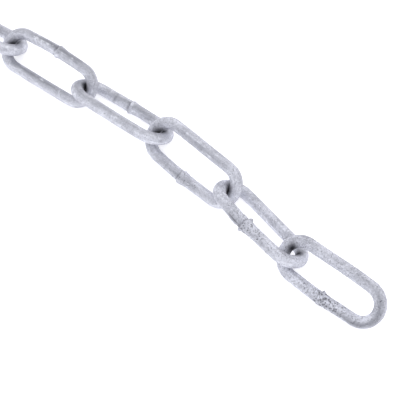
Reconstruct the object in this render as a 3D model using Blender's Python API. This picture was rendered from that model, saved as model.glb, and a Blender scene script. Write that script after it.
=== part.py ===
"""A metre of long-link steel chain, laid on a level floor: a straight run and a wide open loop.

Each link is one length of round wire, bent to a stadium shape and butt-welded in the middle of
one of its two long sides. link_01 is the free end of the straight run. The chain runs from it
towards -X and then loops round. The links lean to the left and to the right in turn, each one
resting on its lower side. Units are metres, +Z is up, and the floor is at z = 0.
"""

from math import cos, pi, radians, sin, sqrt

import bpy
import numpy as np
from mathutils import Euler, Matrix, Vector

# The chain's standard sizes: 4 mm wire, 32 mm inside each link, 16 mm across it
WIRE_DIAMETER = 0.004
INNER_LENGTH = 0.032
OUTER_WIDTH = 0.016
LINK_COUNT = 31
# The gap left between the wires of two neighbouring links
JOINT_CLEARANCE = 0.0007

WIRE_RADIUS = WIRE_DIAMETER / 2
CROWN_RADIUS = (OUTER_WIDTH - WIRE_DIAMETER) / 2
TIP_REACH = (INNER_LENGTH + WIRE_DIAMETER) / 2
SIDE_HALF_LENGTH = TIP_REACH - CROWN_RADIUS

# The wire's section is an octagon of the same area as the round wire
SECTION_SIDES = 8
BEVEL_RESOLUTION = SECTION_SIDES // 2 - 2
CORNER_RADIUS = WIRE_RADIUS * sqrt(2 * pi / (SECTION_SIDES * sin(2 * pi / SECTION_SIDES)))
FLAT_RADIUS = CORNER_RADIUS * cos(pi / SECTION_SIDES)
CROWN_STEPS = 8

# The weld: where along the side the wire swells, and how much, from its middle outwards
WELD_SWELLING = ((0.0, 1.11), (0.0012, 1.07), (0.0026, 1.0))
# The two halves of a welded side meet at a slight angle, this far out of line
WELD_BOW = 0.0003

# How the five links at the free end lie: heading off the X axis, and lean to the side, in degrees
END_HEADINGS = (0, -10.5, -4.5, 3, 3.5)
END_LEANS = (41, -38, 39, -38, 40)
# The next few run on almost straight, and the rest curve round, none quite like the last
RUN_ON_LINKS = 3
RUN_ON_TURN = 3
LOOP_TURN = 11
LOOP_UNEVENNESS = 3
LEAN = 39
# Which of each link's own two sides carries its weld: -1 its -Y side, 1 its +Y side
WELD_SIDES = (-1, -1, -1, 1, 1)

STEEL_COLOR = (0.50, 0.51, 0.56, 1.0)
STEEL_ROUGHNESS = 0.45
STEEL_METALLIC = 0.6


def clear_scene():
    for obj in list(bpy.data.objects):
        bpy.data.objects.remove(obj, do_unlink=True)


def galvanised_steel():
    material = bpy.data.materials.new("galvanised_steel")
    material.use_nodes = True
    surface = material.node_tree.nodes["Principled BSDF"]
    surface.inputs["Base Color"].default_value = STEEL_COLOR
    surface.inputs["Roughness"].default_value = STEEL_ROUGHNESS
    surface.inputs["Metallic"].default_value = STEEL_METALLIC
    return material


def headings():
    """The angle between each link's length and the X axis."""
    angles = list(END_HEADINGS)
    for index in range(len(END_HEADINGS), LINK_COUNT):
        turned = RUN_ON_TURN
        if index >= len(END_HEADINGS) + RUN_ON_LINKS:
            turned = LOOP_TURN + LOOP_UNEVENNESS * sin(2 * index)
        angles.append(angles[-1] + turned)
    return [radians(angle) for angle in angles]


HEADINGS = headings()


def lean(index):
    """The angle that a link leans over by. Neighbours lean to opposite sides."""
    if index < len(END_LEANS):
        return radians(END_LEANS[index])
    return radians(LEAN if index % 2 == 0 else -LEAN)


def weld_side(index):
    return WELD_SIDES[index % len(WELD_SIDES)]


def crown(centre_x, first_angle):
    """Half a circle of wire axis points, with no swelling."""
    steps = [first_angle + pi * step / CROWN_STEPS for step in range(CROWN_STEPS + 1)]
    return [(centre_x + CROWN_RADIUS * cos(a), CROWN_RADIUS * sin(a), 1.0) for a in steps]


def welded_side(side):
    """The points that a welded side adds between its crowns, from +X to -X."""
    run = [*reversed(WELD_SWELLING), *((-x, factor) for x, factor in WELD_SWELLING[1:])]
    return [
        (x, side * (CROWN_RADIUS + WELD_BOW * (1 - abs(x) / SIDE_HALF_LENGTH)), factor)
        for x, factor in run
    ]


def link_axis(side):
    """The wire's axis in the link's own plane, as x, y and the swelling at each point."""
    points = crown(SIDE_HALF_LENGTH, -pi / 2)
    if side > 0:
        points += welded_side(side)
    points += crown(-SIDE_HALF_LENGTH, pi / 2)
    if side < 0:
        points += reversed(welded_side(side))
    return points


def resting_height(index):
    """The height of a link's middle when its lowest flat just touches the floor."""
    tilt = lean(index)
    return -min(y * sin(tilt) - FLAT_RADIUS * swelling for _, y, swelling in link_axis(weld_side(index)))


def turn(index):
    return Euler((lean(index), 0.0, HEADINGS[index])).to_matrix()


def crown_line(place, end):
    """Closely spaced points on the wire's axis round one crown: end is 1 near +X, -1 near -X."""
    angles = np.linspace(-pi / 2, pi / 2, 61)
    x = end * (SIDE_HALF_LENGTH + CROWN_RADIUS * np.cos(angles))
    points = np.stack([x, CROWN_RADIUS * np.sin(angles), 0 * x, 1 + 0 * x], axis=1)
    return (points @ np.array(place).T)[:, :3]


def hooked_place(before, index, hook):
    """A link's place when its near tip lies inside the crown before it, hook away from that tip."""
    bearing = (HEADINGS[index - 1] + HEADINGS[index]) / 2
    tip = before @ Vector((-TIP_REACH, 0.0, 0.0)) + hook * Vector((cos(bearing), sin(bearing), 0.0))
    tip.z = resting_height(index)
    middle = tip - turn(index) @ Vector((TIP_REACH, 0.0, 0.0))
    return Matrix.Translation(middle) @ turn(index).to_4x4()


def hook_on(before, index):
    """The next link, pulled away from the one before it until only the clearance is left."""
    inner, outer = WIRE_RADIUS, CROWN_RADIUS + WIRE_RADIUS
    crown_before = crown_line(before, -1)
    for _ in range(24):
        hook = (inner + outer) / 2
        crown_here = crown_line(hooked_place(before, index, hook), 1)
        apart = np.linalg.norm(crown_before[:, None] - crown_here[None], axis=2).min()
        if apart < WIRE_DIAMETER + JOINT_CLEARANCE:
            inner = hook
        else:
            outer = hook
    return hooked_place(before, index, outer)


def lay_links():
    """Each link's place, as a matrix, from the free end on."""
    places = [Matrix.Translation((0.0, 0.0, resting_height(0))) @ turn(0).to_4x4()]
    for index in range(1, LINK_COUNT):
        places.append(hook_on(places[-1], index))
    return centred(places)


def centred(places):
    """The same places, with the middle of the laid chain over the origin."""
    corners = [
        place @ Vector((x, y, 0.0))
        for index, place in enumerate(places)
        for x, y, _ in link_axis(weld_side(index))
    ]
    middle = [(min(c[i] for c in corners) + max(c[i] for c in corners)) / 2 for i in (0, 1)]
    shift = Matrix.Translation((-middle[0], -middle[1], 0.0))
    return [shift @ place for place in places]


def flat_underneath(index):
    """The tilt of the wire's section that turns one of its flats to the floor on the lower side."""
    flat_step = 2 * pi / SECTION_SIDES
    return (flat_step / 2 - abs(lean(index))) % flat_step


def make_link(name, index, material, collection):
    curve = bpy.data.curves.new(name, "CURVE")
    curve.dimensions = "3D"
    curve.twist_mode = "Z_UP"
    curve.bevel_depth = CORNER_RADIUS
    curve.bevel_resolution = BEVEL_RESOLUTION
    points = link_axis(weld_side(index))
    spline = curve.splines.new("POLY")
    spline.points.add(len(points) - 1)
    for point, (x, y, swelling) in zip(spline.points, points):
        point.co = (x, y, 0.0, 1.0)
        point.radius = swelling
        point.tilt = flat_underneath(index)
    spline.use_cyclic_u = True
    curve.materials.append(material)
    link = bpy.data.objects.new(name, curve)
    collection.objects.link(link)
    return link


def make_pivot(name, place, parent, parent_place, collection):
    """An empty on the hinge between two links, which carries the second one and all after it."""
    pivot = bpy.data.objects.new(name, None)
    pivot.empty_display_size = WIRE_DIAMETER
    collection.objects.link(pivot)
    hang(pivot, place, parent, parent_place)
    return pivot


def hang(obj, place, parent, parent_place):
    if parent is not None:
        obj.parent = parent
        obj.matrix_parent_inverse = parent_place.inverted()
    obj.matrix_basis = place


def pivot_place(link_place):
    """The hinge at a link's far tip: at the middle of the wire, with Y along the wire there."""
    return link_place @ Matrix.Translation((-TIP_REACH, 0.0, 0.0))


def build():
    clear_scene()
    collection = bpy.data.collections.new("steel_chain")
    bpy.context.scene.collection.children.link(collection)
    material = galvanised_steel()
    places = lay_links()
    carrier, carrier_place = None, None
    for index, place in enumerate(places):
        number = index + 1
        if index > 0:
            hinge = pivot_place(places[index - 1])
            carrier = make_pivot(f"swing_{number:02d}", hinge, carrier, carrier_place, collection)
            carrier_place = hinge
        link = make_link(f"link_{number:02d}", index, material, collection)
        hang(link, place, carrier, carrier_place)
    bpy.context.view_layer.update()


build()
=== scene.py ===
import math

import bpy
import numpy as np
from mathutils import Matrix, Vector


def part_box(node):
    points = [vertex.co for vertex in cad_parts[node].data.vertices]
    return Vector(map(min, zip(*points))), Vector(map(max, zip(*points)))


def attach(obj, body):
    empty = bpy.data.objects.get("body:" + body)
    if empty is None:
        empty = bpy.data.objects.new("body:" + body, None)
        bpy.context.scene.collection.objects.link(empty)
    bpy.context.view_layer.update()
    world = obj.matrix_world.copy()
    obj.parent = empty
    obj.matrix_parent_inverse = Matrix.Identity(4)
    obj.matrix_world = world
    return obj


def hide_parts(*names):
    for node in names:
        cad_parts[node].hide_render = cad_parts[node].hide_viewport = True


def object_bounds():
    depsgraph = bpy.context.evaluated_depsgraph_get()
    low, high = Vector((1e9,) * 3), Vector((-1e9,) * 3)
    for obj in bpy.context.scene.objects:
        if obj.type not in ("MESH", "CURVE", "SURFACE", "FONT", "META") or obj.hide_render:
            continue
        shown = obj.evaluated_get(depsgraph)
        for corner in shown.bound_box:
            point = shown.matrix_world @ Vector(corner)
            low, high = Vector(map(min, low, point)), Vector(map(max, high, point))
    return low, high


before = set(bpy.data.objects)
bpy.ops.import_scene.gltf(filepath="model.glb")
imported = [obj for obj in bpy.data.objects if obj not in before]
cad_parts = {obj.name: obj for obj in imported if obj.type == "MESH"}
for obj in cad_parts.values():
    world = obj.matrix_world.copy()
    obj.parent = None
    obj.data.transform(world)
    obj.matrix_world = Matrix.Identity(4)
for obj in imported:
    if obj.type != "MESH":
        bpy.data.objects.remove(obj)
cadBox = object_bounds()
mm = 0.001


# small helpers for node trees

def addNode(tree, kind, inputs=None, **settings):
    made = tree.nodes.new(kind)
    for key, value in settings.items():
        setattr(made, key, value)
    for key, value in (inputs or {}).items():
        if isinstance(value, bpy.types.NodeSocket):
            tree.links.new(value, made.inputs[key])
        else:
            made.inputs[key].default_value = value
    return made


def field(tree, kind, output=0):
    return tree.nodes.new(kind).outputs[output]


def calc(tree, operation, *values):
    return addNode(tree, "ShaderNodeMath", dict(enumerate(values)), operation=operation).outputs[0]


def product(tree, *values):
    total = values[0]
    for value in values[1:]:
        total = calc(tree, "MULTIPLY", total, value)
    return total


def vectorCalc(tree, operation, *values):
    made = addNode(tree, "ShaderNodeVectorMath", dict(enumerate(values)), operation=operation)
    return made.outputs["Value"] if operation == "DOT_PRODUCT" else made.outputs[0]


def scaled(tree, vector, factor):
    made = addNode(tree, "ShaderNodeVectorMath", {"Vector": vector, "Scale": factor}, operation="SCALE")
    return made.outputs[0]


def parts(tree, vector):
    # a vector's three numbers
    return addNode(tree, "ShaderNodeSeparateXYZ", {0: vector}).outputs


def joined(tree, x=0.0, y=0.0, z=0.0):
    return addNode(tree, "ShaderNodeCombineXYZ", {0: x, 1: y, 2: z}).outputs[0]


def noiseAt(tree, vector, size, detail=2.0, roughness=0.5, output=0):
    # size is the width of a typical blotch, in the vector's own units
    made = addNode(tree, "ShaderNodeTexNoise",
                   {"Vector": vector, "Scale": 1 / size, "Detail": detail, "Roughness": roughness})
    return made.outputs[output]


def ramp(tree, value, low, high, toLow=0.0, toHigh=1.0):
    ends = {"Value": value, "From Min": low, "From Max": high, "To Min": toLow, "To Max": toHigh}
    return addNode(tree, "ShaderNodeMapRange", ends, clamp=True).outputs[0]


def hump(tree, distance, width):
    # 1 at the middle, falling smoothly to 0
    ratio = calc(tree, "DIVIDE", distance, width)
    return calc(tree, "EXPONENT", product(tree, ratio, ratio, -1.0))


def mixed(tree, share, under, over):
    made = addNode(tree, "ShaderNodeMix", {"Factor": share, "A": under, "B": over}, data_type="RGBA")
    return made.outputs["Result"]


# hot-dip zinc

zincLook = {
    "pale": (0.80, 0.81, 0.88, 1.0),
    "dull": (0.405, 0.41, 0.46, 1.0),
    "bead": (0.90, 0.91, 0.97, 1.0),            # weld collars, and sparse bright flecks that are painted glints
    "shadeBandDark": (0.27, 0.275, 0.31, 1.0),       # painted shade: duller bands along the wire
    "dark": (0.07, 0.07, 0.085, 1.0),           # pits, and painted shade in the creases
    "rubAndCreviceDark": (0.032, 0.032, 0.038, 1.0),   # inside the bends: rubbed wear, darkened further with painted shade of the crevice between links
    "metallic": 0.55,
    "edgeTint": (0.45, 0.45, 0.48, 1.0),
    "specular": 0.3,
    "roughness": (0.36, 0.55),
    "weldRougher": 0.10,
    "coarseRougher": 0.22,
    # sizes in mm
    "patchSize": 5.0,
    "mottleSize": 1.6,
    "grainSize": 0.48,
    "pitSize": 0.72,
    "pitRagged": 0.9,
    "grainDepth": 0.14,
    # how far each pattern moves the shade, and the span of it that runs from dull to pale
    "shadeBase": 0.175,
    "patchShare": 0.17,
    "mottleShare": 0.25,
    "streakShare": 0.23,
    "grainShare": 0.21,
    "coarseGrain": 0.17,
    "coarsePaler": 0.03,
    "shadeSpan": (0.41, 0.59),
    # painted glints: bright flecks, where streaks and mottling are both at their palest
    "glintStreaks": 0.55,
    "glintMottle": 0.45,
    "glintSpan": (0.565, 0.64),
    "glintStrength": 0.6,
    # pits: how much the weld, coarse zinc and the drifts add to them, how rare and how soft they are
    "pitNearWeld": 0.26,
    "pitCoarse": 0.12,
    "pitDrift": 0.9,
    "pitRarity": 0.37,
    "pitEdge": (-0.13, 0.18),
    "pitStrength": 0.72,
    "creaseStrength": 0.5,
    # relief, against that of the grain
    "streakRelief": 0.4,
    "pitRelief": -0.8,
}


def makeZinc(look):
    material = bpy.data.materials.new("hotDipZinc")
    material.use_nodes = True
    tree = material.node_tree
    surface = tree.nodes["Principled BSDF"]
    inMm = scaled(tree, field(tree, "ShaderNodeTexCoord", "Object"), 1000.0)

    def kept(name, output="Fac"):
        return addNode(tree, "ShaderNodeAttribute", attribute_name=name).outputs[output]

    wireGrain, weldNear = kept("wireGrain", "Vector"), kept("weldNear")
    coarse, paintedCreaseShade, rubAndCreviceShade = kept("coarseness"), kept("paintedCreaseShade"), kept("rubAndCreviceShade")
    pitted, paintedShadeBand, beadPale = kept("pitted"), kept("paintedShadeBand"), kept("beadPale")
    patches = noiseAt(tree, inMm, look["patchSize"])
    mottle = noiseAt(tree, inMm, look["mottleSize"], 4.0, 0.6)
    grain = noiseAt(tree, inMm, look["grainSize"], 2.0, 0.6)
    streaks = noiseAt(tree, wireGrain, 1.0, 3.0, 0.6)

    # light and dull zinc in soft blotches, with streaks drawn along the wire and a fine grain
    grainShare = calc(tree, "MULTIPLY_ADD", coarse, look["coarseGrain"], look["grainShare"])
    light = calc(tree, "MULTIPLY_ADD", calc(tree, "SUBTRACT", grain, 0.5), grainShare, look["shadeBase"])
    light = calc(tree, "MULTIPLY_ADD", patches, look["patchShare"], light)
    light = calc(tree, "MULTIPLY_ADD", mottle, look["mottleShare"], light)
    light = calc(tree, "MULTIPLY_ADD", streaks, look["streakShare"], light)
    light = calc(tree, "MULTIPLY_ADD", coarse, look["coarsePaler"], light)
    colour = mixed(tree, ramp(tree, light, *look["shadeSpan"]), look["dull"], look["pale"])
    # painted shade in duller bands along the wire
    colour = mixed(tree, paintedShadeBand, colour, look["shadeBandDark"])
    colour = mixed(tree, product(tree, beadPale, mottle), colour, look["bead"])
    # painted glints: sparse bright flecks in the bead colour
    brightest = product(tree, mottle, look["glintMottle"])
    brightest = calc(tree, "MULTIPLY_ADD", streaks, look["glintStreaks"], brightest)
    paintedGlints = product(tree, ramp(tree, brightest, *look["glintSpan"]), look["glintStrength"])
    colour = mixed(tree, paintedGlints, colour, look["bead"])

    # fine dark pits in drifts, thickest round the weld and on the coarser links
    ragged = noiseAt(tree, inMm, look["grainSize"], 1.0, output="Color")
    ragged = vectorCalc(tree, "ADD", inMm, scaled(tree, ragged, look["pitRagged"]))
    spots = addNode(tree, "ShaderNodeTexVoronoi", {"Vector": ragged, "Scale": 1 / look["pitSize"]})
    reach = product(tree, coarse, look["pitCoarse"])
    reach = calc(tree, "MULTIPLY_ADD", pitted, look["pitNearWeld"], reach)
    reach = calc(tree, "SUBTRACT", reach, look["pitRarity"])
    reach = calc(tree, "MULTIPLY_ADD", mottle, look["pitDrift"], reach)
    pits = ramp(tree, calc(tree, "SUBTRACT", reach, spots.outputs["Distance"]), *look["pitEdge"])
    # painted shade in the weld creases, the grip marks and beside the fins
    creased = product(tree, paintedCreaseShade, look["creaseStrength"])
    shade = calc(tree, "MAXIMUM", product(tree, pits, look["pitStrength"]), creased)
    colour = mixed(tree, shade, colour, look["dark"])
    # rubbed wear and painted crevice shade inside the crowns
    colour = mixed(tree, rubAndCreviceShade, colour, look["rubAndCreviceDark"])
    tree.links.new(colour, surface.inputs["Base Color"])

    rough = ramp(tree, mottle, 0.3, 0.7, *look["roughness"])
    rough = calc(tree, "MULTIPLY_ADD", weldNear, look["weldRougher"], rough)
    rough = calc(tree, "MULTIPLY_ADD", coarse, look["coarseRougher"], rough)
    tree.links.new(rough, surface.inputs["Roughness"])
    surface.inputs["Metallic"].default_value = look["metallic"]
    surface.inputs["Specular Tint"].default_value = look["edgeTint"]
    surface.inputs["Specular IOR Level"].default_value = look["specular"]

    height = calc(tree, "MULTIPLY_ADD", streaks, look["streakRelief"], grain)
    height = calc(tree, "MULTIPLY_ADD", pits, look["pitRelief"], height)
    bump = addNode(tree, "ShaderNodeBump",
                   {"Height": height, "Strength": 1.0, "Distance": look["grainDepth"] * mm})
    tree.links.new(bump.outputs[0], surface.inputs["Normal"])
    return material


zinc = makeZinc(zincLook)
print("zinc ready")


# the links

linkSizes = {
    "wireRadius": 1.94 * mm,
    "crownRadius": 6.0 * mm,
    "straightLength": 24.0 * mm,
    "weldBow": 0.3 * mm,        # how far out of line the two halves of the welded side meet
    "barrel": 0.25 * mm,        # how far the sides bulge
    "fineStep": 0.24 * mm,      # mesh step on the links nearest the camera, and on the rest
    "plainStep": 0.34 * mm,
    "fineLinks": 5,
    "lumps": 0.055 * mm,
    "bendSwell": 0.28 * mm,     # how much bending thickens the inside of a crown
    "floorGap": 0.02 * mm,
}

# how all the links are alike. lengths and heights in mm, each stray or wave as a share of its noise
linkForm = {
    "straySize": 50 / 3,        # no link is quite true
    "stray": 0.5,
    "waveSize": 2.2,            # the weld's edges wander
    "waveReach": 1.5,
    "unevenSize": 0.9,          # the collar is lumpy
    "uneven": (1.8, 0.1),
    "collarEdge": (-0.12, 0.16),
    "collarPale": 0.6,
    "creaseBefore": 0.35,
    "creaseWidth": 0.28,
    "creaseBreakSize": 1.6,
    "creaseBreaks": (0.38, 0.58, 0.15, 1.0),
    "gripWidth": 0.40,
    "gripDepth": 0.03,
    "swellReach": 2.0,
    "swellHeight": 0.08,
    "nubLength": 0.62,
    "nubWidth": 0.75,
    "weldReach": 3.2,
    "pittedFrom": 2.5,
    "pittedReach": 6.5,
    "finLineWave": 0.8,
    "finShadowWidth": 0.32,
    "finLineReach": 2.6,
    "finShadowDark": 1.6,
    "finBeside": 1.0,
    "finWidth": 0.5,
    "finHeight": 0.34,
    "rubDepth": 1.5,
    "rubWidth": 2.4,
    "freeEndUnrubbed": 0.8,
    "bendFrom": -0.5,           # where the thickening starts and is full, from the straight's end
    "bendFull": 4.5,
    "grainStretch": 0.14,       # streaks are this much finer across the wire than along it
    "bandWave": 0.9,
    "bandWidth": 1.1,
    "bandReach": 15.0,
    "lumpSize": 1.3,
    "lumpShare": 2.0,
    "runSize": 1.1,
    "plainRelief": 0.9,
    "weldRelief": 0.8,
    "coarseRelief": 0.8,
}

# shift: where the weld is along its side. bead, collar, crease: its height, fading length and depth, mm
# coarse: how rough and pitted the zinc is. pale: how pale the collar is. coat: extra wire radius, mm
# nubs of spatter: mm along from the weld, turn round the wire in degrees, height in mm
# bands, duller stretches of painted shade: turn in degrees, middle in mm along the wire, strength
# grip: mm from the weld to a ring mark. the fin and its line, a ragged fin of spatter with a painted shadow
# line beside it: turn in degrees, mm from the weld, strength
# rubAside: mm by which the rubbed patches are off centre. swell: share of the bends' thickening
welds = {
    "link_01": {
        "shift": -0.6, "bead": 0.26, "collar": 1.1, "crease": 0.14,
        "coarse": 1.0, "pale": 0.0, "coat": 0.10, "rubAside": 2.2, "swell": 0.3,
        "nubs": ((0.4, 170, 0.85), (0.1, -40, 0.60)),
        "bands": ((72, 80, 0.85), (61, 21, 0.15)),
    },
    "link_02": {
        "shift": -1.7, "bead": 0.50, "collar": 1.7, "crease": 0.22,
        "coarse": 0.8, "pale": 0.4, "coat": 0.09, "rubAside": 1.0, "finAndShadow": (-15, -3.4, 1.0),
        "nubs": ((0.7, 135, 0.60), (0.4, -35, 0.65)),
        "bands": ((0, 62, 0.45), (167, 21, 0.30)),
    },
    "link_03": {
        "shift": -1.0, "bead": 0.52, "collar": 2.0, "crease": 0.22,
        "coarse": 0.55, "pale": 0.55, "coat": 0.05,
        "nubs": ((0.4, 140, 0.35), (0.2, -20, 0.45)),
        "bands": ((90, 21, 0.60), (96, 64, 0.55)),
    },
    "link_04": {
        "shift": -0.3, "bead": 0.60, "collar": 0.8, "crease": 0.20,
        "coarse": 0.25, "pale": 1.1, "coat": 0.06, "grip": -5.9,
        "nubs": ((0.7, 130, 0.38), (0.4, 195, 0.50)),
        "bands": ((134, 21, 0.65), (60, 60, 0.55)),
    },
    "link_05": {
        "shift": 0.5, "bead": 0.42, "collar": 1.4, "crease": 0.18,
        "coarse": 0.2, "pale": 0.5, "coat": -0.04,
        "nubs": ((0.2, 30, 0.35), (0.4, -120, 0.3)),
        "bands": ((43, 21, 0.95), (137, 64, 0.90)),
    },
}
weldSides = (-1, -1, -1, 1, 1)


def weldOf(name, index):
    # links that the photograph doesn't show get a weld of the same kind, each a little different
    if name in welds:
        return welds[name]
    swing = [math.sin(index * step) for step in (1.7, 2.9, 4.3, 5.9, 7.1)]
    return {
        "shift": 0.8 * swing[0],
        "bead": 0.44 + 0.08 * swing[1],
        "collar": 1.4 + 0.5 * swing[3],
        "crease": 0.16 + 0.05 * swing[2],
        "coarse": 0.5 + 0.35 * swing[3],
        "pale": 0.4 + 0.3 * swing[0],
        "coat": 0.05 * swing[1],
        "nubs": ((0.5 + 0.3 * swing[4], 180 * swing[0], 0.5), (0.3, 180 * swing[2], 0.45)),
        "bands": ((90 + 60 * swing[1], 21, 0.4 + 0.3 * swing[2]),
                  (90 + 60 * swing[4], 64, 0.4 + 0.3 * swing[3])),
    }


def linkPlace(node, towards, sign):
    # a link's middle and axes, from its crowns: along its length, across it, and square to both
    points = np.array([tuple(vertex.co) for vertex in node.data.vertices])
    points = np.unique(np.round(points, 6), axis=0)
    along = np.linalg.svd(points - points.mean(axis=0), full_matrices=False)[2][0]
    reach = np.abs((points - points.mean(axis=0)) @ along)
    crowns = points[reach > linkSizes["straightLength"] / 2 + mm]
    middle = crowns.mean(axis=0)
    along, _, square = np.linalg.svd(crowns - middle, full_matrices=False)[2]
    along = Vector(along) * (1 if sign * np.dot(along, towards - middle) > 0 else -1)
    square = Vector(square) * (1 if square[2] > 0 else -1)
    across = square.cross(along)
    turned = Matrix((along, across, square)).transposed()
    return Vector(middle), turned


def askInputs(tree):
    # the link tree's named inputs, and the identifier by which a modifier knows each one
    asked = {
        "NodeSocketFloat": (
            "Wire Radius", "Crown Radius", "Straight Length", "Step", "Weld Side", "Weld Shift", "Weld Bow",
            "Barrel", "Bead", "Bead Pale", "Collar", "Crease", "Grip Mark", "Coarseness", "Lumps",
            "Bend Swell", "Free End", "Rub Aside", "Seed"),
        "NodeSocketVector": (
            "Nub A", "Nub B", "Band A", "Band B", "Fin And Shadow", "Place", "Turn", "Lowest", "Highest"),
        "NodeSocketMaterial": ("Material",),
    }
    sockets = {}
    for kind, labels in asked.items():
        for label in labels:
            made = tree.interface.new_socket(label, in_out="INPUT", socket_type=kind)
            sockets[label] = made.identifier
    tree.interface.new_socket("Geometry", in_out="OUTPUT", socket_type="NodeSocketGeometry")
    return tree.nodes.new("NodeGroupInput").outputs, sockets


def onWeldSide(tree, given, across):
    return calc(tree, "GREATER_THAN", product(tree, across, given["Weld Side"]), 0.0)


def middleLine(tree, given, form, half, seedShift):
    # the wire's middle line: a rectangle with fully rounded ends
    crown = given["Crown Radius"]
    width = calc(tree, "MULTIPLY_ADD", crown, 2.0, given["Straight Length"])
    box = addNode(tree, "GeometryNodeCurvePrimitiveQuadrilateral",
                  {"Width": width, "Height": product(tree, crown, 2.0)})
    rounded = addNode(tree, "GeometryNodeFilletCurve",
                      {"Curve": box.outputs[0], "Radius": crown, "Count": 24}, mode="POLY")
    line = addNode(tree, "GeometryNodeResampleCurve",
                   {"Curve": rounded.outputs[0], "Length": given["Step"]}, mode="LENGTH")

    # the two halves of the welded side meet a little out of line, the sides bulge, and the line strays
    position = field(tree, "GeometryNodeInputPosition")
    spot = parts(tree, position)
    fromWeld = calc(tree, "DIVIDE", calc(tree, "ABSOLUTE", spot[0]), half)
    bow = calc(tree, "MAXIMUM", calc(tree, "SUBTRACT", 1.0, fromWeld), 0.0)
    bow = product(tree, bow, given["Weld Bow"], onWeldSide(tree, given, spot[1]), given["Weld Side"])
    fromMiddle = calc(tree, "DIVIDE", spot[0], calc(tree, "ADD", half, crown))
    bulge = calc(tree, "SUBTRACT", 1.0, product(tree, fromMiddle, fromMiddle))
    bulge = product(tree, bulge, given["Barrel"], calc(tree, "SIGN", spot[1]))
    inMm = vectorCalc(tree, "ADD", scaled(tree, position, 1000.0), seedShift)
    stray = noiseAt(tree, inMm, form["straySize"], 0.0, output="Color")
    stray = scaled(tree, vectorCalc(tree, "SUBTRACT", stray, (0.5, 0.5, 0.5)), form["stray"] * mm)
    moved = vectorCalc(tree, "ADD", stray, joined(tree, y=calc(tree, "ADD", bow, bulge)))
    line = addNode(tree, "GeometryNodeSetPosition", {"Geometry": line.outputs[0], "Offset": moved})
    return line.outputs[0]


def sweepWire(tree, given, line):
    # the wire's skin, which remembers the line under it: its place, its direction and the length so far
    keep = tree.nodes.new("GeometryNodeCaptureAttribute")
    for kind, label in (("VECTOR", "Axis Point"), ("VECTOR", "Axis Direction"), ("FLOAT", "Wire Length")):
        keep.capture_items.new(kind, label)
    tree.links.new(line, keep.inputs[0])
    tree.links.new(field(tree, "GeometryNodeInputPosition"), keep.inputs[1])
    tree.links.new(field(tree, "GeometryNodeInputTangent"), keep.inputs[2])
    tree.links.new(field(tree, "GeometryNodeSplineParameter", 1), keep.inputs[3])
    girth = product(tree, given["Wire Radius"], 2 * math.pi)
    sides = calc(tree, "ROUND", calc(tree, "DIVIDE", girth, given["Step"]))
    ring = addNode(tree, "GeometryNodeCurvePrimitiveCircle",
                   {"Resolution": sides, "Radius": given["Wire Radius"]})
    skin = addNode(tree, "GeometryNodeCurveToMesh",
                   {"Curve": keep.outputs[0], "Profile Curve": ring.outputs[0]})
    return skin.outputs[0], keep.outputs[1], keep.outputs[2], keep.outputs[3]


def surfaceFields(tree, given, form, seedShift, axisPoint, axisDirection, wireLength):
    # where each point of the skin is, seen from the wire under it
    position = field(tree, "GeometryNodeInputPosition")
    radial = vectorCalc(tree, "SUBTRACT", position, axisPoint)
    outward = vectorCalc(tree, "CROSS_PRODUCT", axisDirection, (0.0, 0.0, 1.0))
    out = vectorCalc(tree, "DOT_PRODUCT", radial, vectorCalc(tree, "NORMALIZE", outward))
    up = parts(tree, radial)[2]
    axis = parts(tree, axisPoint)
    inMm = vectorCalc(tree, "ADD", scaled(tree, position, 1000.0), seedShift)
    return {
        "here": parts(tree, position), "inMm": inMm, "radial": radial, "out": out, "up": up,
        "angle": calc(tree, "ARCTAN2", up, out),
        "onSide": onWeldSide(tree, given, axis[1]),
        "fromMiddle": calc(tree, "ABSOLUTE", axis[0]),
        "along": calc(tree, "SUBTRACT", product(tree, axis[0], 1000.0), given["Weld Shift"]),
        "lengthMm": product(tree, wireLength, 1000.0),
        "wave": calc(tree, "SUBTRACT", noiseAt(tree, inMm, form["waveSize"]), 0.5),
    }


def roundWire(tree, given, at, degrees):
    # mm round the wire from a line at the given turn
    turned = calc(tree, "SUBTRACT", at["angle"], calc(tree, "RADIANS", degrees))
    return product(tree, calc(tree, "WRAP", turned, math.pi, -math.pi), given["Wire Radius"], 1000.0)


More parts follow.
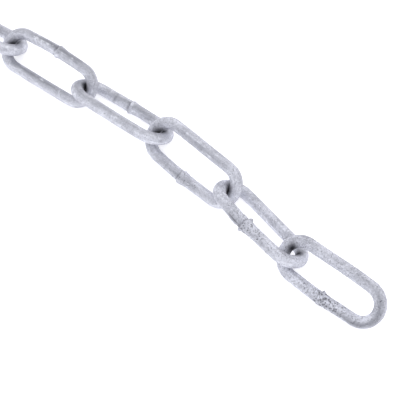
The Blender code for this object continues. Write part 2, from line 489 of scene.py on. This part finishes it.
def weldRelief(tree, given, form, at):
    # the weld: a crease, and a sharp step up to a lumpy collar that thins out again
    along, onSide = at["along"], at["onSide"]
    wavyAlong = calc(tree, "MULTIPLY_ADD", at["wave"], form["waveReach"], along)
    uneven = calc(tree, "MULTIPLY_ADD", noiseAt(tree, at["inMm"], form["unevenSize"]), *form["uneven"])
    step = ramp(tree, wavyAlong, *form["collarEdge"])
    past = calc(tree, "DIVIDE", calc(tree, "MAXIMUM", wavyAlong, 0.0), given["Collar"])
    collar = product(tree, step, calc(tree, "EXPONENT", product(tree, past, -1.0)))
    bead = product(tree, collar, uneven, given["Bead"])
    creaseLine = hump(tree, calc(tree, "ADD", wavyAlong, form["creaseBefore"]), form["creaseWidth"])
    crease = product(tree, creaseLine, given["Crease"])
    gripped = calc(tree, "GREATER_THAN", calc(tree, "ABSOLUTE", given["Grip Mark"]), 0.1)
    gripMark = hump(tree, calc(tree, "SUBTRACT", wavyAlong, given["Grip Mark"]), form["gripWidth"])
    gripMark = product(tree, gripMark, gripped)
    crease = calc(tree, "MULTIPLY_ADD", gripMark, form["gripDepth"], crease)
    swell = product(tree, hump(tree, along, form["swellReach"]), form["swellHeight"])
    weld = calc(tree, "SUBTRACT", calc(tree, "ADD", bead, swell), crease)

    # two nubs of spatter, the first one as pale as the collar
    paleSpot = product(tree, collar, form["collarPale"])
    for label, glow in (("Nub A", 1.0), ("Nub B", 0.0)):
        nub = parts(tree, given[label])
        spread = product(tree, hump(tree, calc(tree, "SUBTRACT", along, nub[0]), form["nubLength"]),
                         hump(tree, roundWire(tree, given, at, nub[1]), form["nubWidth"]))
        weld = calc(tree, "MULTIPLY_ADD", spread, nub[2], weld)
        paleSpot = calc(tree, "MULTIPLY_ADD", spread, glow, paleSpot)
    # painted shade in the crease and the grip mark, broken up by noise
    broken = noiseAt(tree, at["inMm"], form["creaseBreakSize"], 1.0)
    paintedCreaseShade = product(tree, calc(tree, "MAXIMUM", creaseLine, gripMark), onSide,
                         ramp(tree, broken, *form["creaseBreaks"]))

    # a painted shadow line along the wire beside some welds, next to a ragged fin of spatter
    finAndShadow = parts(tree, given["Fin And Shadow"])
    beside = calc(tree, "MULTIPLY_ADD", at["wave"], form["finLineWave"], roundWire(tree, given, at, finAndShadow[0]))
    length = hump(tree, calc(tree, "SUBTRACT", along, finAndShadow[1]), form["finLineReach"])
    paintedFinShadow = product(tree, hump(tree, beside, form["finShadowWidth"]), length, finAndShadow[2])
    paintedCreaseShade = calc(tree, "MAXIMUM", paintedCreaseShade, product(tree, paintedFinShadow, onSide, form["finShadowDark"]))
    fin = hump(tree, calc(tree, "ADD", beside, form["finBeside"]), form["finWidth"])
    fin = product(tree, fin, length, finAndShadow[2], uneven)
    weld = calc(tree, "MULTIPLY_ADD", fin, form["finHeight"], weld)

    pitted = hump(tree, calc(tree, "SUBTRACT", along, form["pittedFrom"]), form["pittedReach"])
    told = {
        "weldNear": product(tree, hump(tree, along, form["weldReach"]), onSide),
        "paintedCreaseShade": paintedCreaseShade,
        "beadPale": product(tree, paleSpot, onSide, given["Bead Pale"]),
        "pitted": product(tree, pitted, onSide, product(tree, given["Coarseness"], given["Coarseness"])),
    }
    return product(tree, weld, onSide, mm), told


def rubAndCreviceShadePatch(tree, given, form, at, half):
    # the next link has rubbed the inside of each crown, and it is darkened with painted shade of the
    # crevice where the links meet, apart from the chain's free ends
    here = at["here"]
    inside = calc(tree, "ADD", half, calc(tree, "SUBTRACT", given["Crown Radius"], given["Wire Radius"]))
    short = product(tree, calc(tree, "SUBTRACT", calc(tree, "ABSOLUTE", here[0]), inside), 1000.0)
    aside = calc(tree, "SUBTRACT", product(tree, here[1], 1000.0), given["Rub Aside"])
    free = calc(tree, "GREATER_THAN", product(tree, here[0], given["Free End"]), 0.0)
    spared = calc(tree, "MULTIPLY_ADD", free, -form["freeEndUnrubbed"], 1.0)
    return product(tree, hump(tree, short, form["rubDepth"]), hump(tree, aside, form["rubWidth"]), spared)


def bendThickness(tree, given, form, at, half):
    # bending has pressed the wire thicker on the inside of each crown
    inward = calc(tree, "DIVIDE", at["out"], product(tree, given["Wire Radius"], -1.0))
    inward = calc(tree, "MAXIMUM", inward, 0.0)
    bent = ramp(tree, at["fromMiddle"], calc(tree, "ADD", half, form["bendFrom"] * mm),
                calc(tree, "ADD", half, form["bendFull"] * mm))
    return product(tree, inward, inward, bent)


def paintedShadeBands(tree, given, form, at):
    # painted shade: duller stretches along the wire, each round its own middle and turn
    straights = product(tree, given["Straight Length"], 2.0)
    perimeter = calc(tree, "MULTIPLY_ADD", given["Crown Radius"], 2 * math.pi, straights)
    halfWay = product(tree, perimeter, 500.0)    # half of it, in mm
    paintedShadeBand = 0.0
    for label in ("Band A", "Band B"):
        band = parts(tree, given[label])
        far = calc(tree, "MULTIPLY_ADD", at["wave"], form["bandWave"], roundWire(tree, given, at, band[0]))
        ahead = calc(tree, "SUBTRACT", at["lengthMm"], band[1])
        ahead = calc(tree, "WRAP", ahead, halfWay, product(tree, halfWay, -1.0))
        stripe = product(tree, hump(tree, far, form["bandWidth"]), hump(tree, ahead, form["bandReach"]))
        paintedShadeBand = calc(tree, "MULTIPLY_ADD", stripe, band[2], paintedShadeBand)
    return paintedShadeBand


def makeLinkTree(form):
    tree = bpy.data.node_groups.new("weldedLink", "GeometryNodeTree")
    given, sockets = askInputs(tree)
    half = product(tree, given["Straight Length"], 0.5)
    seedShift = scaled(tree, (13.7, 7.3, 29.1), given["Seed"])
    line = middleLine(tree, given, form, half, seedShift)
    wire, axisPoint, axisDirection, wireLength = sweepWire(tree, given, line)
    at = surfaceFields(tree, given, form, seedShift, axisPoint, axisDirection, wireLength)
    weld, told = weldRelief(tree, given, form, at)
    thicker = bendThickness(tree, given, form, at, half)
    relief = calc(tree, "MULTIPLY_ADD", thicker, given["Bend Swell"], weld)

    # the coating: soft lumps, and runs along the wire
    wireGrain = joined(tree, product(tree, at["lengthMm"], form["grainStretch"]),
                       product(tree, at["out"], 1000.0), product(tree, at["up"], 1000.0))
    wireGrain = vectorCalc(tree, "ADD", wireGrain, seedShift)
    lumps = calc(tree, "SUBTRACT", noiseAt(tree, at["inMm"], form["lumpSize"]), 0.5)
    runs = calc(tree, "SUBTRACT", noiseAt(tree, wireGrain, form["runSize"], 1.0), 0.5)
    coarse = calc(tree, "MULTIPLY_ADD", told["weldNear"], form["weldRelief"], form["plainRelief"])
    coarse = calc(tree, "MULTIPLY_ADD", given["Coarseness"], form["coarseRelief"], coarse)
    coat = calc(tree, "ADD", product(tree, lumps, form["lumpShare"]), runs)
    relief = calc(tree, "MULTIPLY_ADD", product(tree, coat, given["Lumps"]), coarse, relief)
    raised = scaled(tree, vectorCalc(tree, "NORMALIZE", at["radial"]), relief)
    wire = addNode(tree, "GeometryNodeSetPosition", {"Geometry": wire, "Offset": raised}).outputs[0]

    # what the zinc is told of each point
    told = {
        "wireGrain": wireGrain,
        **told,
        "paintedShadeBand": paintedShadeBands(tree, given, form, at),
        "rubAndCreviceShade": rubAndCreviceShadePatch(tree, given, form, at, half),
        "coarseness": given["Coarseness"],
    }
    for name, value in told.items():
        kind = "FLOAT_VECTOR" if name == "wireGrain" else "FLOAT"
        wire = addNode(tree, "GeometryNodeStoreNamedAttribute",
                       {"Geometry": wire, "Name": name, "Value": value},
                       data_type=kind, domain="POINT").outputs[0]

    # laid in its place, and worn flat where it meets the floor
    wire = addNode(tree, "GeometryNodeTransform",
                   {"Geometry": wire, "Translation": given["Place"], "Rotation": given["Turn"]}).outputs[0]
    held = vectorCalc(tree, "MAXIMUM", field(tree, "GeometryNodeInputPosition"), given["Lowest"])
    held = vectorCalc(tree, "MINIMUM", held, given["Highest"])
    wire = addNode(tree, "GeometryNodeSetPosition", {"Geometry": wire, "Position": held}).outputs[0]
    wire = addNode(tree, "GeometryNodeSetShadeSmooth", {"Geometry": wire}).outputs[0]
    wire = addNode(tree, "GeometryNodeRealizeInstances", {"Geometry": wire}).outputs[0]
    wire = addNode(tree, "GeometryNodeSetMaterial", {"Geometry": wire, "Material": given["Material"]})
    tree.links.new(wire.outputs[0], tree.nodes.new("NodeGroupOutput").inputs[0])
    return tree, sockets


linkTree, linkSockets = makeLinkTree(linkForm)
names = sorted(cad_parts)
middles = [np.array(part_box(name)).mean(axis=0) for name in names]
places = {}
for index, name in enumerate(names):
    towards = middles[index - 1] if index > 0 else middles[1]
    places[name] = linkPlace(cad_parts[name], towards, 1 if index > 0 else -1)


def linkValues(name, index, sizes):
    # what the tree's inputs are on one link
    weld = weldOf(name, index)
    middle, turned = places[name]
    return {
        "Wire Radius": sizes["wireRadius"] + weld["coat"] * mm,
        "Crown Radius": sizes["crownRadius"],
        "Straight Length": sizes["straightLength"],
        "Step": sizes["fineStep"] if index < sizes["fineLinks"] else sizes["plainStep"],
        "Weld Side": float(weldSides[index % len(weldSides)]),
        "Weld Shift": weld["shift"],
        "Weld Bow": sizes["weldBow"],
        "Barrel": sizes["barrel"],
        "Bead": weld["bead"],
        "Bead Pale": weld["pale"],
        "Collar": weld["collar"],
        "Crease": weld["crease"],
        "Grip Mark": weld.get("grip", 0.0),
        "Coarseness": weld["coarse"],
        "Lumps": sizes["lumps"],
        "Bend Swell": sizes["bendSwell"] * weld.get("swell", 1.0),
        "Free End": {0: 1.0, len(names) - 1: -1.0}.get(index, 0.0),
        "Rub Aside": weld.get("rubAside", 0.0),
        "Seed": float(index + 1),
        "Nub A": weld["nubs"][0],
        "Nub B": weld["nubs"][1],
        "Band A": weld["bands"][0],
        "Band B": weld["bands"][1],
        "Fin And Shadow": weld.get("finAndShadow", (0.0, 0.0, 0.0)),
        "Place": tuple(middle),
        "Turn": tuple(turned.to_euler()),
        "Lowest": (cadBox[0][0], cadBox[0][1], sizes["floorGap"]),
        "Highest": tuple(cadBox[1]),
        "Material": zinc,
    }


def makeLink(name, index):
    piece = bpy.data.objects.new(f"wire_{name}", bpy.data.meshes.new(f"wire_{name}"))
    bpy.context.scene.collection.objects.link(piece)
    bent = piece.modifiers.new("weldedLink", "NODES")
    bent.node_group = linkTree
    for label, value in linkValues(name, index, linkSizes).items():
        bent[linkSockets[label]] = value
    bpy.context.view_layer.update()
    shaped = piece.evaluated_get(bpy.context.evaluated_depsgraph_get())
    mesh = bpy.data.meshes.new_from_object(shaped)
    piece.modifiers.clear()
    piece.data = mesh
    mesh.name = f"wire_{name}"
    return piece


for index, name in enumerate(names):
    piece = makeLink(name, index)
    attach(piece, name)
    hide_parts(name)
print("links bent, welded and dipped:", len(names))


# floor, camera and lights

# the floor glows a little, so that it comes out white
floorLook = {"size": 4.0, "colour": (0.93, 0.93, 0.935, 1.0), "roughness": 0.6, "glow": 0.48}


def makeFloor(look):
    half = look["size"] / 2
    corners = [(-half, -half, 0), (half, -half, 0), (half, half, 0), (-half, half, 0)]
    mesh = bpy.data.meshes.new("paleFloor")
    mesh.from_pydata(corners, [], [(0, 1, 2, 3)])
    floor = bpy.data.objects.new("paleFloor", mesh)
    bpy.context.scene.collection.objects.link(floor)
    material = bpy.data.materials.new("palePaper")
    material.use_nodes = True
    surface = material.node_tree.nodes["Principled BSDF"]
    surface.inputs["Base Color"].default_value = look["colour"]
    surface.inputs["Roughness"].default_value = look["roughness"]
    surface.inputs["Emission Color"].default_value = look["colour"]
    surface.inputs["Emission Strength"].default_value = look["glow"]
    mesh.materials.append(material)


makeFloor(floorLook)

# the camera stands where the photograph was taken from. its eye is measured from the third link's middle
cameraLook = {
    "eye": (0.1542, -0.1668, 0.4076),
    "azimuth": 42.42,
    "elevation": 62.41,
    "roll": -4.05,
    "focalPixels": 1421,
    "framePixels": 400,
    "sensorWidth": 36.0,
}


def makeCamera(look):
    azimuth, elevation, roll = (math.radians(look[key]) for key in ("azimuth", "elevation", "roll"))
    forward = Vector((-math.sin(azimuth) * math.cos(elevation), math.cos(azimuth) * math.cos(elevation),
                      -math.sin(elevation)))
    right = Vector((math.cos(azimuth), math.sin(azimuth), 0.0))
    up = right.cross(forward)
    rolledRight = math.cos(roll) * right + math.sin(roll) * up
    rolledUp = math.cos(roll) * up - math.sin(roll) * right
    eye = places["link_03"][0] + Vector(look["eye"])
    data = bpy.data.cameras.new("photoCamera")
    data.sensor_width = look["sensorWidth"]
    data.lens = look["sensorWidth"] * look["focalPixels"] / look["framePixels"]
    data.clip_start = 0.01
    camera = bpy.data.objects.new("photoCamera", data)
    bpy.context.scene.collection.objects.link(camera)
    turned = Matrix((rolledRight, rolledUp, -forward)).transposed().to_4x4()
    camera.matrix_world = Matrix.Translation(eye) @ turned
    bpy.context.scene.camera = camera


makeCamera(cameraLook)

# a pale room that is darker towards the front, so that the wires get a duller band along their near side
lightLook = {
    "pale": (0.88, 0.88, 0.90, 1.0),
    "dull": (0.72, 0.73, 0.77, 1.0),
    "front": (0.35, -0.75, 0.50),
    "frontSpan": (0.30, 0.90),
    "strength": 1.0,
    "lamps": (
        {"name": "backBox", "at": (-0.4, 1.0, 1.3), "size": 1.2, "power": 1.5},
        {"name": "frontBox", "at": (-0.5, -1.3, 0.8), "size": 1.2, "power": 2.6},
        {"name": "topBox", "at": (0.3, 0.0, 1.6), "size": 1.0, "power": 4.0},
    ),
}


def makeLights(look):
    world = bpy.data.worlds.new("paleRoom")
    world.use_nodes = True
    tree = world.node_tree
    way = field(tree, "ShaderNodeTexCoord", "Generated")
    towards = vectorCalc(tree, "DOT_PRODUCT", way, tuple(Vector(look["front"]).normalized()))
    room = mixed(tree, ramp(tree, towards, *look["frontSpan"]), look["pale"], look["dull"])
    back = tree.nodes["Background"]
    tree.links.new(room, back.inputs["Color"])
    back.inputs["Strength"].default_value = look["strength"]
    bpy.context.scene.world = world
    for lamp in look["lamps"]:
        data = bpy.data.lights.new(lamp["name"], "AREA")
        data.size = lamp["size"]
        data.energy = lamp["power"]
        light = bpy.data.objects.new(lamp["name"], data)
        bpy.context.scene.collection.objects.link(light)
        at = Vector(lamp["at"])
        light.location = at
        light.rotation_euler = at.to_track_quat("Z", "Y").to_euler()


makeLights(lightLook)
bpy.context.scene.view_settings.view_transform = "Standard"
print("floor, camera and lights set")
